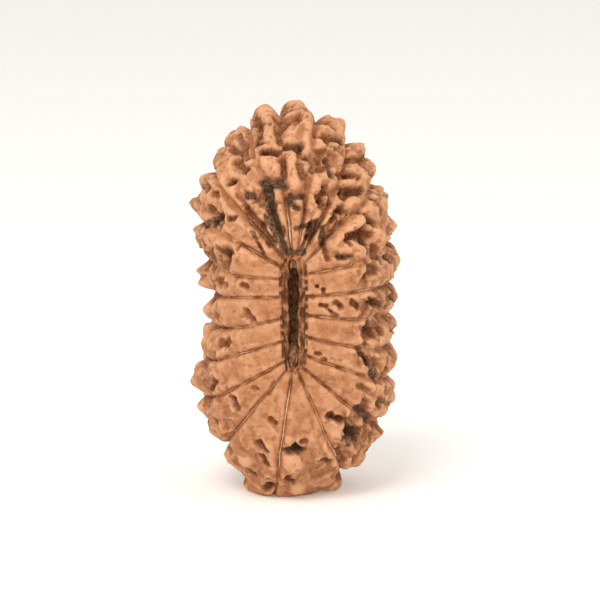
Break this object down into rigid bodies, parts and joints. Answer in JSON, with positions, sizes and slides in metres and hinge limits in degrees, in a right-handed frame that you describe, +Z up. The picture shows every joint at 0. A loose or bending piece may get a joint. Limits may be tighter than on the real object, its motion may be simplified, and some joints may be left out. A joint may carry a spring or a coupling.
{
  "type": "rudraksha seed",
  "caption": "Rudraksha seed of many narrow faces, with fine grooves fanned out from a slit-shaped mouth, rough brown knobs and pits, standing on its narrow end.",
  "frame": {"origin": "Middle of the bounding box, on the surface that the seed stands on.", "axes": "+Z up along the long axis; the long slit-shaped mouth faces -Y and a shorter one faces +Y; +X is to the right as the front is seen."},
  "size_m": [0.0192, 0.0178, 0.0352],
  "materials": {
    "seed_shell": "dry matt"
  },
  "bodies": {
    "root": {"bead": "seed_shell"}
  },
  "joints": []
}
